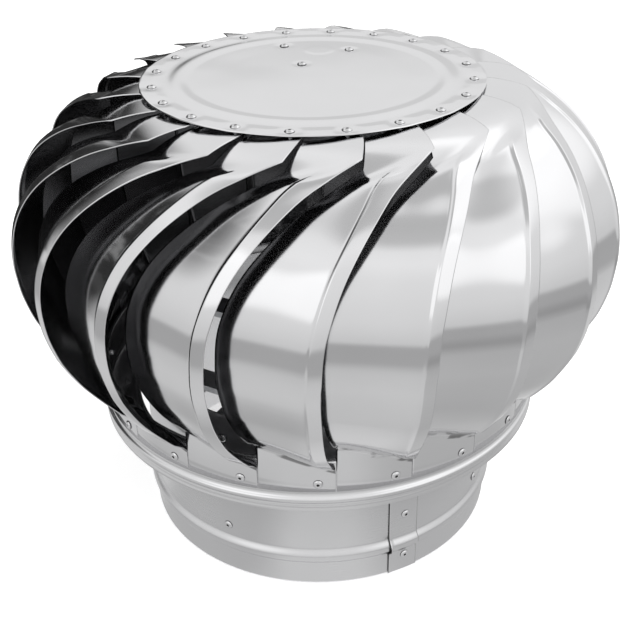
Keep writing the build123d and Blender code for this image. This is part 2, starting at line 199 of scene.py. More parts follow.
class Finish:
    """A material under construction, or the world's, with one method for any node."""

    def __init__(self, owner):
        owner.use_nodes = True
        self.tree = owner.node_tree
        self.tree.nodes.clear()

    def node(self, kind, settings=None, **sockets):
        made = self.tree.nodes.new(kind)
        for name, setting in (settings or {}).items():
            if name == "stops":
                ramp = made.color_ramp
                while len(ramp.elements) < len(setting):
                    ramp.elements.new(0.5)
                for element, (position, shade) in zip(ramp.elements, setting):
                    element.position = position
                    element.color = (*shade, 1.0)
            else:
                setattr(made, name, setting)
        for name, value in sockets.items():
            self.feed(made.inputs[name.replace("_", " ")], value)
        return made

    def feed(self, socket, value):
        if isinstance(value, Value):
            self.tree.links.new(value.socket, socket)
        elif isinstance(value, bpy.types.NodeSocket):
            self.tree.links.new(value, socket)
        else:
            socket.default_value = value

    def value(self, node, output=0):
        return Value(self.tree, node.outputs[output])


def soft_edge(finish, value, low, high):
    """0 below low, 1 above high, and a soft step between, as shader nodes."""
    made = finish.node("ShaderNodeMapRange", {"interpolation_type": "SMOOTHSTEP"}, Value=value)
    made.inputs["From Min"].default_value = low
    made.inputs["From Max"].default_value = high
    return Value(finish.tree, made.outputs[0])


# %% [markdown]
# ## Stainless sheet
# Bright annealed sheet is nearly a mirror, but never a flat one: rolling leaves very faint
# streaks, handling leaves soft clouds in the gloss, and thin sheet waves a little. So the
# colour is nearly even, the roughness clouds, and a bump bends the reflections slowly.

# %% Metals
# sockets of a mix node that are for colours
MIX_FIRST, MIX_SECOND, MIX_COLOUR = 6, 7, 2
DULLEST, BRIGHTEST = 0.94, 1.05
# the dark grey that is mixed in as painted shade
SHADE_GREY = (0.12, 0.12, 0.12)


def steel(name, shade, gloss, cloud=0.05, wave=0.0, streak=0.0, wave_size=18.0, shade_share=None):
    """Polished sheet: base shade, roughness, its clouding, slow waves and fine streaks.

    The last argument gives the share of painted shade, dark grey for shadow, at a place."""
    material = bpy.data.materials.new(name)
    f = Finish(material)
    place = f.node("ShaderNodeTexCoord").outputs["Object"]
    clouds = f.node("ShaderNodeTexNoise", Vector=place, Scale=22.0, Detail=4.0)
    slow = f.node("ShaderNodeTexNoise", Vector=place, Scale=wave_size, Detail=1.0)
    stretch = f.node("ShaderNodeMapping", Vector=place, Scale=(60.0, 60.0, 2600.0))
    fine = f.node("ShaderNodeTexNoise", Vector=stretch.outputs[0], Scale=1.0, Detail=3.0)
    cloudy = f.value(clouds)
    streaky = f.value(fine)
    rough = gloss + cloud * (cloudy - 0.5) + streak * (streaky - 0.5)
    height = f.value(slow) * wave
    bump = f.node("ShaderNodeBump", Strength=1.0, Distance=MM, Height=height)
    dull = f.node("ShaderNodeMix", {"data_type": "RGBA"}, Factor=cloudy)
    dull.inputs[MIX_FIRST].default_value = (*[c * DULLEST for c in shade], 1.0)
    dull.inputs[MIX_SECOND].default_value = (*[c * BRIGHTEST for c in shade], 1.0)
    # painted shade: the base colour darkens towards a dark grey wherever the given share says
    if shade_share:
        shaded = f.node("ShaderNodeMix", {"data_type": "RGBA"}, Factor=shade_share(f, place))
        f.feed(shaded.inputs[MIX_FIRST], dull.outputs[MIX_COLOUR])
        shaded.inputs[MIX_SECOND].default_value = (*SHADE_GREY, 1.0)
        dull = shaded
    shader = f.node(
        "ShaderNodeBsdfPrincipled",
        Base_Color=dull.outputs[MIX_COLOUR],
        Metallic=1.0,
        Roughness=rough,
        Normal=bump.outputs[0],
    )
    out = f.node("ShaderNodeOutputMaterial")
    f.feed(out.inputs["Surface"], shader.outputs[0])
    return material


# the blades' inner faces are the same sheet as the outer ones, painted dark as the shade inside
# the rotor
inner_shade_steel = steel("inner blade painted shade", (0.15, 0.15, 0.155), 0.22, cloud=0.12, wave=0.3)
cap_steel = steel("cap steel", (0.84, 0.84, 0.85), 0.10, cloud=0.05, wave=0.4, streak=0.04)
ring_steel = steel("ring steel", (0.80, 0.80, 0.81), 0.20, cloud=0.05, wave=0.2)
collar_steel = steel("collar steel", (0.75, 0.75, 0.76), 0.26, cloud=0.06, wave=0.10, streak=0.05)
rivet_steel = steel("rivet metal", (0.78, 0.78, 0.79), 0.24, cloud=0.05)
bracket_steel = steel("bracket steel", (0.55, 0.56, 0.57), 0.32, cloud=0.12, streak=0.06)
turned_steel = steel("turned steel", (0.60, 0.60, 0.61), 0.25, cloud=0.06, streak=0.10)
race_steel = steel("race steel", (0.66, 0.66, 0.67), 0.12, cloud=0.03)
# a dark grey painted where shadow falls: rivet holes, under rivet heads and in the lap's slit
shadow_paint = steel("painted shadow", (0.10, 0.10, 0.10), 0.5)
print("metals so far", len(bpy.data.materials))

# %% [markdown]
# ## Blade surface
# A real blade is cut flat and only rolled, never stretched. So its surface is one profile
# carried along straight level lines, and the swirl comes from how the blank's two long edges
# are cut. A crimped joggle lifts a narrow rim along the free edge, and the foot is folded
# down on the round ring. The same is done here: points are laid out on the flat blank, by
# length along the profile and by place along the level lines, and then rolled.

# %% Blade sizes
BLADES = 20
PITCH = 360.0 / BLADES
SHEET = 0.5
FACING = -23.7
FOOT_AZIMUTH = 3.4
CAP_RADIUS = 87.0
TAB_INNER = 74.0
TAB_HEIGHT = 249.06
LEADING_DROP = 1.4
BELLY = (146.35, 168.0)
FOOT_RADIUS = 122.54
CREASE = 93.0
FOOT_HEIGHT = 82.0
TOP_SWIRL = 28.9
BUTT_GAP = 0.4
# the rim along the free edge, wider near the cap, and the flank of its joggle
RIM = 5.5
RIM_MORE = 2.0
RIM_FALL = 2.3
RIM_CURVE = 1.12
RIM_SINK = 0.6
FLANK = 1.6
FLANK_RISE = 0.55
SLANT_LIMIT = 0.42
# a crease that climbs towards the leading end, and the painted shade just above it, where the
# dents' shadow falls
CREASE_CLIMB = 14.0
FOLD_SHADE_EDGES = (-0.5, 0.6, 1.5, 6.5)
FOLD_SHADE_SHARE = 0.75
# the profile seen along the level lines, as (distance from the axis, height) handles
SHOULDER = ((48.6, 249.06), (108.1, 241.8), (146.35, 212.6), BELLY)
HIP = (BELLY, (146.35, 141.0), (134.3, 117.3), (109.1, CREASE))
# meridians of the two long edges, as (radius, height) handles: cap to belly, belly to ring
FREE = (
    ((87.0, 249.06), (133.0, 249.06), (160.2, 198.0), (160.2, 168.0)),
    ((160.2, 168.0), (160.2, 150.5), (143.02, 112.1), (122.54, 93.0)),
)
LEADING = (
    ((87.0, 247.66), (130.23, 231.93), (147.2, 198.0), (147.2, 168.0)),
    ((147.2, 168.0), (147.2, 150.5), (143.02, 126.1), (122.54, 107.0)),
)
# place along the edge, 0 at the cap, 1 at the belly, 2 at the crease; azimuth past the foot
SWIRL = (
    (0.155, 25.4), (0.25, 15.6), (0.36, 9.0), (0.55, 1.9), (0.78, -2.1), (1.0, -3.1),
    (1.35, -3.1), (1.68, -2.3), (1.88, -0.9), (2.0, 0.0),
)
KINK = SWIRL[0][0]


# %% Blade metal
def fold_shade_share(f, place):
    """Share of painted shade, dark grey for the dents' shadow, in the crumpled fold just above
    the ring, a few mm high.
    """
    parts = f.node("ShaderNodeSeparateXYZ", Vector=place)
    east, north, height = (f.value(parts, i) for i in range(3))
    turn = f.node("ShaderNodeMath", {"operation": "ARCTAN2"})
    f.feed(turn.inputs[0], east)
    f.feed(turn.inputs[1], north * -1.0)
    count = (math.radians(FOOT_AZIMUTH) - f.value(turn)) * (BLADES / math.tau)
    share = f.value(f.node("ShaderNodeMath", {"operation": "FRACT"}, Value=count))
    above = height - share * (CREASE_CLIMB * MM) - CREASE * MM
    start, full, thin, end = (edge * MM for edge in FOLD_SHADE_EDGES)
    band = soft_edge(f, above, start, full) * (1 - soft_edge(f, above, thin, end))
    stretch = f.node("ShaderNodeMapping", Vector=place, Scale=(1.0, 1.0, 2.2))
    patches = f.node("ShaderNodeTexNoise", Vector=stretch.outputs[0], Scale=70.0, Detail=2.0)
    near_corner = 1 - soft_edge(f, share, 0.10, 0.50)
    patchy = soft_edge(f, f.value(patches) + near_corner * 0.12, 0.50, 0.62)
    return band * patchy * FOLD_SHADE_SHARE


# the blades carry painted shade in the folds above the ring
blade_steel = steel(
    "blade steel", (0.80, 0.80, 0.81), 0.11, cloud=0.05, wave=0.06, streak=0.04,
    shade_share=fold_shade_share,
)
print("blade metal nodes", len(blade_steel.node_tree.nodes))


# %% Rolled profile
def bezier(handles, t):
    """Point of a cubic curve given by its four handles."""
    a, b, c, d = (Vector(p) for p in handles)
    return a * (1 - t) ** 3 + 3 * b * (1 - t) ** 2 * t + 3 * c * (1 - t) * t * t + d * t**3


STEPS = 240
FLATS = (0, 38, 92, 150, 206)
FLATNESS = 0.3
profile = [Vector((0.0, TAB_HEIGHT + 0.2)), Vector((30.0, TAB_HEIGHT + 0.2))]
profile += [bezier(SHOULDER, i / STEPS) for i in range(STEPS)]
profile += [bezier(HIP, i / STEPS) for i in range(STEPS + 1)]
# the folding press left slight flats in the lower belly
marks = [STEPS + 2 + i for i in FLATS]
for first, last in zip(marks, marks[1:]):
    a, b = profile[first].copy(), profile[last].copy()
    for i in range(first + 1, last):
        profile[i] = profile[i].lerp(a.lerp(b, (i - first) / (last - first)), FLATNESS)
profile.append(profile[-1] + (profile[-1] - profile[-2]).normalized() * 20)
reach_at = np.array([p.x for p in profile])
height_at = np.array([p.y for p in profile])
run_at = np.concatenate([[0.0], np.cumsum(np.hypot(np.diff(reach_at), np.diff(height_at)))])
print("profile length", round(float(run_at[-1]), 1), "mm")


def run_of_reach(reach):
    """Length along the profile where it is this far out, on the shoulder."""
    return float(np.interp(reach, reach_at[: STEPS - 20], run_at[: STEPS - 20]))


def run_of_height(height):
    """Length along the profile where it is this high, from the shoulder down."""
    return float(np.interp(-height, -height_at[20:], run_at[20:]))


def rolled(run, level, push=0.0, raised=0.0):
    """Point of the rolled blank, pushed out of its face and raised by distances in mm."""
    step = 0.5
    reach, ahead, behind = np.interp((run, run + step, run - step), run_at, reach_at)
    height, low, high = np.interp((run, run + step, run - step), run_at, height_at)
    travel = Vector((ahead - behind, low - high)).normalized()
    reach += -travel.y * push
    height += travel.x * push + raised
    return around(reach, FACING, height) + around(level, FACING + 90.0)


# %% [markdown]
# ## Edges of the flat blank
# The two long edges follow the outline that the finished rotor shows: a meridian that swells
# from the cap to the belly and draws in to the ring, swept round by the swirl. Each edge point
# is unrolled to a place on the blank, so that the cut, and not a stretch, gives the swirl.

# %% Edges on the flat blank
def on_meridian(curves, along):
    """Radius and height of a long edge: 0 at the cap, 1 at the belly, 2 at the crease."""
    if along <= 1.0:
        return bezier(curves[0], along)
    return bezier(curves[1], min(along - 1.0, 1.0))


def swirl(along):
    """Azimuth of the free edge past its foot: straight to the kink, then one smooth curve."""
    if along <= KINK:
        return TOP_SWIRL + (SWIRL[0][1] - TOP_SWIRL) * max(along, 0.0) / KINK
    steps = [(b[1] - a[1]) / (b[0] - a[0]) for a, b in zip(SWIRL, SWIRL[1:])]
    slopes = [steps[0] * 1.2] + [(c + d) / 2 for c, d in zip(steps, steps[1:])] + steps[-1:]
    for i, ((x0, y0), (x1, y1)) in enumerate(zip(SWIRL, SWIRL[1:])):
        if along <= x1:
            h = x1 - x0
            t = (along - x0) / h
            return (
                y0 * (1 + 2 * t) * (1 - t) ** 2
                + slopes[i] * h * t * (1 - t) ** 2
                + y1 * t * t * (3 - 2 * t)
                + slopes[i + 1] * h * t * t * (t - 1)
            )
    return SWIRL[-1][1]


def on_blank(curves, along, azimuth):
    """Place (run, level) on the flat blank of an edge point at an azimuth."""
    radius, height = on_meridian(curves, max(along, 0.0))
    if along < 0.0:
        radius += (TAB_INNER - CAP_RADIUS) * -along
    turn = math.radians(azimuth - FACING)
    top_run = run_of_reach(radius * math.cos(turn))
    side_run = run_of_height(height)
    run = top_run + (side_run - top_run) * smoothstep(0.15, 0.4, along)
    if along < 0.2:
        level = radius * math.sin(turn)
    else:
        reach = float(np.interp(run, run_at, reach_at))
        wide = reach * math.tan(turn)
        level = radius * math.sin(turn)
        level += (wide - level) * smoothstep(0.2, 0.4, along)
    return Vector((run, level))


def edge_pair(along):
    """Places on the blank of the free edge and of the leading edge."""
    own = FOOT_AZIMUTH + swirl(along)
    lead_radius, _ = on_meridian(LEADING, max(along, 0.0))
    gap = math.degrees(BUTT_GAP / lead_radius)
    return on_blank(FREE, along, own), on_blank(LEADING, along, own - PITCH + gap)


def crease_run(share):
    """Length along the profile where it meets the round ring, at a share of the width."""
    turn = math.radians(FOOT_AZIMUTH - PITCH * share - FACING)
    reach = FOOT_RADIUS * math.cos(turn)
    low = STEPS + 20
    return float(np.interp(-reach, -reach_at[low:], run_at[low:]))


print("free edge at the belly", [round(x, 1) for x in edge_pair(1.0)[0]])


# %% [markdown]
# ## The rolled sheet
# A roller forms the joggle and a fold brings the foot down on the ring, where the sheet has
# no room and crumples. A point of the blank is therefore placed in order: across the rim, the
# flank or the face, then rolled with the dents pressed in, and last drawn to the round ring.

# %% Point of the sheet
# dents above the ring, as (share of the width, half width, row)
DENTS = ((0.30, 0.14, 1.935), (0.62, 0.16, 1.915), (0.90, 0.10, 1.93))
DENT_DEPTH = 1.9


def crumple(place, share):
    """Depth in mm of the dents that folding leaves just above the ring."""
    depth = 0.0
    for middle, half, row in DENTS:
        side = 1 - smoothstep(0.0, half, abs(share - middle))
        tall = smoothstep(row - 0.075, row, place) * (1 - smoothstep(row, row + 0.045, place))
        depth = max(depth, DENT_DEPTH * side * tall)
    return depth


def blade_point(along, across):
    """Point of the outer face: along -1 to 3 from tab to foot, across 0 to 3.

    Across, 0 to 1 is the rim, 1 to 2 the flank of the joggle and 2 to 3 the face."""
    place = min(along, 2.0)
    free, leading = edge_pair(place)
    row = leading - free
    square = 1.0
    if KINK < place < 1.985:
        travel = edge_pair(place + 0.004)[0] - edge_pair(max(place - 0.004, KINK))[0]
        square = max(abs(row.normalized().cross(travel.normalized())), SLANT_LIMIT)
    rim = (RIM + RIM_MORE * (1 - smoothstep(0.2, 0.5, place))) / square
    flank = FLANK / square
    if across <= 1.0:
        reach = rim * across
        push = RIM_FALL * (1 - (1 - across) ** RIM_CURVE) - RIM_SINK
    elif across <= 2.0:
        reach = rim + flank * (across - 1.0)
        push = RIM_FALL - RIM_SINK - FLANK_RISE * smoothstep(-0.12, 1.12, across - 1.0)
    else:
        inner = rim + flank
        reach = inner + (row.length - inner) * (across - 2.0)
        push = (RIM_FALL - RIM_SINK - FLANK_RISE) * (1 - smoothstep(0.0, 0.9, across - 2.0))
    share = reach / row.length
    run, level = free + row * share
    fold = smoothstep(1.55, 2.0, place)
    bulge = crease_run(share) - crease_run(0.0) * (1 - share) - crease_run(1.0) * share
    run += bulge * fold
    lift = smoothstep(0.185, 0.25, place) * (1 - smoothstep(1.80, 1.95, place))
    # the tab is pressed up against the cap along its edge
    to_cap = TAB_HEIGHT - LEADING_DROP * share - float(np.interp(run, run_at, height_at))
    raised = to_cap * (1 - smoothstep(-0.05, 0.20, place))
    point = rolled(run, level, push * lift - crumple(place, share), raised)
    on_ring = min(max((place - 1.90) / 0.1, 0.0), 1.0)
    turn = FOOT_AZIMUTH - PITCH * share + math.degrees(BUTT_GAP / FOOT_RADIUS) * share
    foot_point = around(FOOT_RADIUS, turn, point.z / MM)
    point = point.lerp(foot_point, on_ring)
    if along > 2.0:
        point.z += (FOOT_HEIGHT * MM - point.z) * (along - 2.0)
    return point


print("belly point", [round(x, 4) for x in blade_point(1.0, 0.0)])

# %% [markdown]
# ## Cutting the blades
# A shear cuts one blank after another to the same outline. Rows lie closer where the sheet
# bends hard, at the kink under the cap and at the crease, and columns lie closer over the rim.

# %% Cut the first blade
ROWS = (
    [-1.0, -0.5, -0.15, 0.0, 0.03, 0.06, 0.09, 0.12, 0.14, KINK, 0.17, 0.185, 0.2, 0.215, 0.23]
    + [0.245 + 0.0251 * i for i in range(28)]
    + [0.95, 0.975, 0.995, 1.005, 1.03, 1.06, 1.1, 1.135, 1.145, 1.18, 1.22, 1.26, 1.295]
    + [1.305, 1.34, 1.38, 1.42, 1.46, 1.495, 1.505, 1.55, 1.6, 1.65, 1.7, 1.735, 1.745]
    + [1.78, 1.82, 1.86, 1.89, 1.92, 1.945, 1.965, 1.982, 1.994, 2.0]
    + [2.02, 2.1, 2.4, 2.7, 3.0]
)
COLUMNS = (
    [0.0, 0.06, 0.2, 0.35, 0.5, 0.65, 0.8, 0.92, 1.0, 1.1, 1.25, 1.5, 1.75, 1.9]
    + [2.0 + s for s in (0.006, 0.03, 0.08, 0.16, 0.26, 0.36, 0.46, 0.56, 0.66, 0.76, 0.85)]
    + [2.92, 2.97, 3.0]
)


def cut_blade():
    """A flat grid of the blade's rows and columns, rolled and swirled by the formula."""
    bm = bmesh.new()
    wide, long = len(COLUMNS) - 1, len(ROWS) - 1
    bmesh.ops.create_grid(bm, x_segments=wide, y_segments=long, size=1.0)
    for v in bm.verts:
        column = round((v.co.x + 1) / 2 * wide)
        row = round((v.co.y + 1) / 2 * long)
        v.co = blade_point(ROWS[row], COLUMNS[column])
    bmesh.ops.recalc_face_normals(bm, faces=bm.faces)
    bm.faces.ensure_lookup_table()
    middle = max(bm.faces, key=lambda face: face.calc_center_median().xy.length)
    if middle.normal.xy.dot(middle.calc_center_median().xy) < 0:
        bmesh.ops.reverse_faces(bm, faces=bm.faces)
    return bm


first_blade = cut_blade()
print("blade faces", len(first_blade.faces))

# %% [markdown]
# ## The rotor's blades
# The twenty blades are alike and stand at an even pitch, each tucked under the next. Copies
# of the first are turned round the spindle's axis and get the sheet's thickness inwards.

# %% Twenty blades
for number in range(BLADES):
    bm = first_blade.copy()
    bmesh.ops.rotate(
        bm,
        verts=bm.verts,
        cent=(0, 0, 0),
        matrix=Matrix.Rotation(math.radians(number * PITCH), 3, "Z"),
    )
    node = f"blade_{number + 1:02d}"
    name = f"blade_panel_{number + 1:02d}"
    blade = piece_from(bm, name, "rotor", blade_steel, [node])
    # the sheet's inner faces take the second, darker material: painted shade for the dark inside
    # of the rotor
    blade.data.materials.append(inner_shade_steel)
    wall = blade.modifiers.new("sheet", "SOLIDIFY")
    wall.material_offset = 1
    wall.thickness = SHEET * MM
    wall.offset = -1.0
    wall.use_even_offset = True
first_blade.free()
print("blades", BLADES, "faces each", (len(ROWS) - 1) * (len(COLUMNS) - 1))

# %% [markdown]
# ## Top cap
# The cap is a stamped disc: a middle that is a little slack, with one faint round mark, a
# shallow rolled ridge, and a rim that twenty rivets pull down on the blade tabs. Between
# rivets the thin sheet lifts a little, which shows as soft dimples. A spun half section gives
# the disc, and its points are then lifted by their distance from the nearest rivet.

# %% Rivet places
CAP_HEIGHT = 250.0
CAP_RIVETS = [(80.7, 10.4 + PITCH * i) for i in range(BLADES)]
HUB_RIVETS = [(20.0, -164.0), (55.4, -164.0), (48.0, 155.5)]
CAP_WALL = 0.4
LIFT = 0.42
RIDGE_FROM, RIDGE_TO, RIDGE_HEIGHT = 62.0, 74.0, 0.55
RIDGE_STEPS = 14


def nearest(point, places):
    """Distance in mm from a point to the nearest of (radius, azimuth) places."""
    flat = point.xy / MM
    return min((flat - (around(r, a).xy / MM)).length for r, a in places)


def lift_at(point):
    """How far the cap's sheet stands up between its rivets, in mm."""
    radius = point.xy.length / MM
    away = nearest(point, CAP_RIVETS)
    rim = smoothstep(74.5, 81.0, radius)
    free = smoothstep(2.0, 9.0, away)
    spot = 1 - smoothstep(2.2, 6.0, nearest(point, HUB_RIVETS))
    mark = 1 - smoothstep(6.8, 8.4, nearest(point, [(44.0, 175.0)]))
    slack = 0.12 * math.sin(point.x / MM * 0.055 + 0.6) * math.sin(point.y / MM * 0.048)
    middle = 1 - smoothstep(45, 64, radius)
    return LIFT * rim * free + 0.10 * mark - 0.2 * spot + slack * middle


# %% [markdown]
# ## Pressing the disc
# The die rolls the ridge in one stroke, so it is part of the half section. The lift between
# the rivets comes only at assembly and is pressed into the spun disc afterwards.

# %% Spin and press the cap
top = [(r, CAP_HEIGHT) for r in (0, 6, 10, 12, 13, 14, 15, 16, 18)]
top += [(20.0 + 1.2 * i, CAP_HEIGHT) for i in range(35)]
for i in range(RIDGE_STEPS + 1):
    share = i / RIDGE_STEPS
    radius = RIDGE_FROM + (RIDGE_TO - RIDGE_FROM) * share
    top.append((radius, CAP_HEIGHT + RIDGE_HEIGHT * math.sin(math.pi * share) ** 2))
top += [(74.4 + 0.87 * i, CAP_HEIGHT) for i in range(15)]
top += [(86.7, CAP_HEIGHT - 0.05), (87.0, CAP_HEIGHT - 0.3), (87.0, CAP_HEIGHT - 0.4)]
bm = spun(top, steps=300)
for v in bm.verts:
    v.co.z += lift_at(v.co) * MM
outwards(bm)
if sum(face.normal.z for face in bm.faces) < 0:
    bmesh.ops.reverse_faces(bm, faces=bm.faces)
print("cap rings", len(top), "verts", len(bm.verts))
cap = piece_from(bm, "top_cap_sheet", "rotor", cap_steel, ["top_cap"])
wall = cap.modifiers.new("sheet", "SOLIDIFY")
wall.thickness = CAP_WALL * MM
wall.offset = -1.0

# %% [markdown]
# ## Bottom ring
# The blade feet are riveted on a rolled ring. Its top edge is hemmed inwards, its lower edge
# has a rounded bead that catches a bright line, and a floor with a round hole closes it in
# towards the collar. A closed half section is spun once round.

# %% Spin the ring
RING = 122.0
RING_BEAD = (RING, 77.0)
BEAD_RADIUS = 1.8
ring_out = [(118.9, 99.0), (119.2, 99.7), (119.9, 100.0), (121.0, 100.0), (121.7, 99.7)]
ring_out += [(RING, height) for height in (98.8, 96.0, 90.0, 84.0, 79.4)]
ring_out += arc(RING_BEAD, BEAD_RADIUS, 62, -62, 10)
ring_out += [(122.4, 74.6), (122.9, 73.6), (123.3, 72.0), (123.4, 70.9), (123.1, 70.5)]
ring_in = [(122.8, 70.6), (122.5, 72.0), (121.9, 73.9), (121.3, 75.0), (119.8, 75.3)]
ring_in += [(114.0, 75.3), (106.0, 75.3), (104.2, 75.3), (103.8, 75.65), (104.2, 76.0)]
ring_in += [(108.0, 76.0), (116.0, 76.0), (120.0, 76.0), (121.0, 76.4), (121.3, 77.2)]
ring_in += [(121.3, 84.0), (121.3, 92.0), (121.3, 97.6), (120.9, 98.4), (119.6, 98.4)]
loop = ring_out + ring_in
bm = spun(loop + loop[:1], steps=240)
outwards(bm)
piece_from(bm, "bottom_ring_sheet", "rotor", ring_steel, ["bottom_ring"])
print("ring section points", len(loop))

# %% [markdown]
# ## Neck collar
# The collar is one strip of sheet bent round and lapped, with a swaged bead near its lower
# edge that stiffens it and stops the duct. The wall is a closed half section spun all round.
# The lap's outer layer is a second sweep of a few degrees over it, and its exposed edge gapes
# a little at the bead, where the two swages do not quite nest.

# %% Spin the collar wall
NECK = 100.0
NECK_SHEET = 0.6
NECK_TOP = 104.0
BEAD_MIDDLE = 19.5
BEAD_DEPTH = 2.4


def bead(height):
    """How far the collar's swaged bead stands out at a height, in mm."""
    above = smoothstep(BEAD_MIDDLE + 5.6, BEAD_MIDDLE + 0.6, height)
    below = smoothstep(BEAD_MIDDLE - 5.6, BEAD_MIDDLE - 1.0, height)
    return BEAD_DEPTH * above * below


def collar_section(inner, outer):
    """Closed half section of a beaded wall between two radii."""
    heights = [0.0, 0.2, 3.0, 8.0, 12.5, 13.5]
    heights += [14.0 + 0.5 * i for i in range(24)]
    heights += [27.0, 32.0, 45.0, 60.0, 80.0, NECK_TOP - 0.2, NECK_TOP]
    up = [(outer + bead(h), h) for h in heights]
    down = [(inner + bead(h), h) for h in reversed(heights)]
    return up + down


section = collar_section(NECK - NECK_SHEET, NECK)
bm = spun(section + section[:1], steps=240)
outwards(bm)
piece_from(bm, "collar_wall", "base", collar_steel, ["neck_collar"])
print("collar section points", len(section))

# %% [markdown]
# ## The lap
# The strip's outer end lies over its inner end and is riveted there. Its sheared edge stands
# off the wall, and its end and its inner side are painted dark, as the shade in the slit.

# %% Lap seam
LAP_START = 21.0
LAP_SWEEP = 9.74
LAP_GAPE = 0.35
BEAD_GAPE = 1.3
section = collar_section(NECK, NECK + NECK_SHEET)
bm = spun(section + section[:1], steps=24, start=LAP_START, sweep=LAP_SWEEP)
ends = [e for e in bm.edges if e.is_boundary]
bmesh.ops.holes_fill(bm, edges=ends, sides=0)
for v in bm.verts:
    lift = 1 - smoothstep(0.0, 1.3, azimuth_of(v.co) - LAP_START)
    gape = LAP_GAPE + BEAD_GAPE * math.exp(-(((v.co.z / MM) - BEAD_MIDDLE) / 5.0) ** 2)
    v.co += Vector((v.co.x, v.co.y, 0.0)).normalized() * (lift * gape * MM)
outwards(bm)
# painted shade: the lap's inner side and its exposed end get the dark second material
for face in bm.faces:
    middle = face.calc_center_median()
    inner_side = face.normal.dot(middle.normalized()) < -0.5
    exposed_end = azimuth_of(middle) < LAP_START + 0.1 and abs(face.normal.z) < 0.5
    if inner_side or exposed_end and len(face.verts) > 4:
        face.material_index = 1
lap = piece_from(bm, "collar_lap", "base", collar_steel, ["neck_collar"])
# the second material is the painted shade of the slit
lap.data.materials.append(shadow_paint)
print("lap faces", len(lap.data.polygons))

# %% [markdown]
# ## Blind rivets
# The sheets are joined by pulled blind rivets: a low domed head with the small hole that
# the snapped mandrel leaves, and mostly a swollen tail behind the sheets. The hole and a thin
# lip round the head are painted dark as their shadow. Each rivet is spun from one half section
# and turned on to its place.

# %% One rivet
# inside the first radius a head is hollow, and past the second its lip turns under
HOLLOW = 0.78
LIP = 2.37
TAIL = 2.2


def rivet_bm(grip, tail, steps=28):
    """A set rivet along +Z, its head's seat at the origin."""
    head = [(0.0, 0.10), (0.62, 0.10), (0.70, 0.16), (0.74, 0.92), (0.84, 1.03)]
    head += [(1.05, 1.06), (1.35, 1.0), (1.75, 0.82), (2.1, 0.56), (2.36, 0.26), (2.45, 0.1)]
    head += [(2.42, 0.0), (1.2, 0.0)]
    if tail:
        end = -grip - tail
        head += [(1.2, -grip), (1.75, -grip - 0.3), (1.85, -grip - 0.9), (1.5, end + 0.3)]
        head += [(1.1, end), (0.0, end)]
    else:
        head += [(1.2, -grip), (0.0, -grip)]
    bm = spun(head, steps=steps)
    outwards(bm)
    # painted shadow: the mandrel hole and the lip under the head's edge get the dark second
    # material
    for face in bm.faces:
        middle = face.calc_center_median() / MM
        reach = middle.xy.length
        if middle.z > 0 and (reach < HOLLOW or reach > LIP):
            face.material_index = 1
    return bm


def facing_out(radius, azimuth, height):
    """Matrix that turns +Z out of an upright wall."""
    place = around(radius, azimuth, height)
    turn = around(1.0, azimuth).to_track_quat("Z", "Y").to_matrix().to_4x4()
    return Matrix.Translation(place) @ turn


def rivets(name, body, places, grip, node, tail=TAIL, seed=1):
    """A group of rivets, one per matrix, each turned and seated a little differently."""
    draw = random.Random(seed)
    group = bmesh.new()
    for place in places:
        one = rivet_bm(grip, tail)
        lean = Matrix.Rotation(math.radians(draw.uniform(-2.5, 2.5)), 4, "X")
        roll = Matrix.Rotation(draw.uniform(0, math.tau), 4, "Z")
        bmesh.ops.transform(one, matrix=place @ roll @ lean, verts=one.verts)
        scratch = bpy.data.meshes.new("scratch")
        one.to_mesh(scratch)
        one.free()
        group.from_mesh(scratch)
        bpy.data.meshes.remove(scratch)
    piece = piece_from(group, name, body, rivet_steel, [node])
    # the second material is the painted shadow
    piece.data.materials.append(shadow_paint)
    print(name, len(places), "rivets")


# %% [markdown]
# ## Setting the rivets
# A rivet gun leaves each head leaning a little its own way. The cap's heads lie on the disc,
# and those of the ring, the cross bars and the lap stand out of upright walls. The lap's are
# flush inside, where the duct slides past.

# %% Set the rivets
RING_RIVETS = (122.58, -0.59, 87.0)
BAR_AZIMUTH, BAR_HEIGHTS = -30.0, (31.0, 89.0)
SEAM_AZIMUTH, SEAM_HEIGHTS = 26.44, (10.7, 39.2)
on_cap = [Matrix.Translation(around(r, a, CAP_HEIGHT - 0.1)) for r, a in CAP_RIVETS]
on_hub = [Matrix.Translation(around(r, a, CAP_HEIGHT - 0.1)) for r, a in HUB_RIVETS]
seat, first, height = RING_RIVETS
on_ring = [facing_out(seat, first + PITCH * i, height) for i in range(BLADES)]
arms = [BAR_AZIMUTH + 90.0 * i for i in range(4)]
on_brackets = [facing_out(NECK, a, h) for h in BAR_HEIGHTS for a in arms]
on_seam = [facing_out(NECK + NECK_SHEET, SEAM_AZIMUTH, h) for h in SEAM_HEIGHTS]
rivets("cap_rim_rivets", "rotor", on_cap, 1.4, "cap_rivets", seed=3)
rivets("hub_plate_rivets", "rotor", on_hub, 1.7, "hub_rivets", seed=5)
rivets("ring_foot_rivets", "rotor", on_ring, 1.3, "ring_rivets", seed=7)
rivets("bar_end_rivets", "base", on_brackets, 2.2, "bracket_rivets", seed=9)
rivets("lap_seam_rivets", "base", on_seam, 1.2, "neck_seam_rivets", tail=0, seed=11)

# %% [markdown]
# ## Floor, world and lamps
# The ventilator stands on a white sweep in a white room. The floor glows a little towards
# the eye and in reflections, so it comes out white and still keeps the shadow under the
# collar. Two large lamps stay at a plain level.

# %% World
world = bpy.data.worlds.new("white room")
bpy.context.scene.world = world
room = Finish(world)


def seen_directly(finish):
    """1 for the rays that look at the background: straight, mirrored or through glass."""
    path = finish.node("ShaderNodeLightPath")
    rays = [
        Value(finish.tree, path.outputs[name])
        for name in ("Is Camera Ray", "Is Glossy Ray", "Is Transmission Ray")
    ]
    return rays[0] + rays[1] + rays[2]


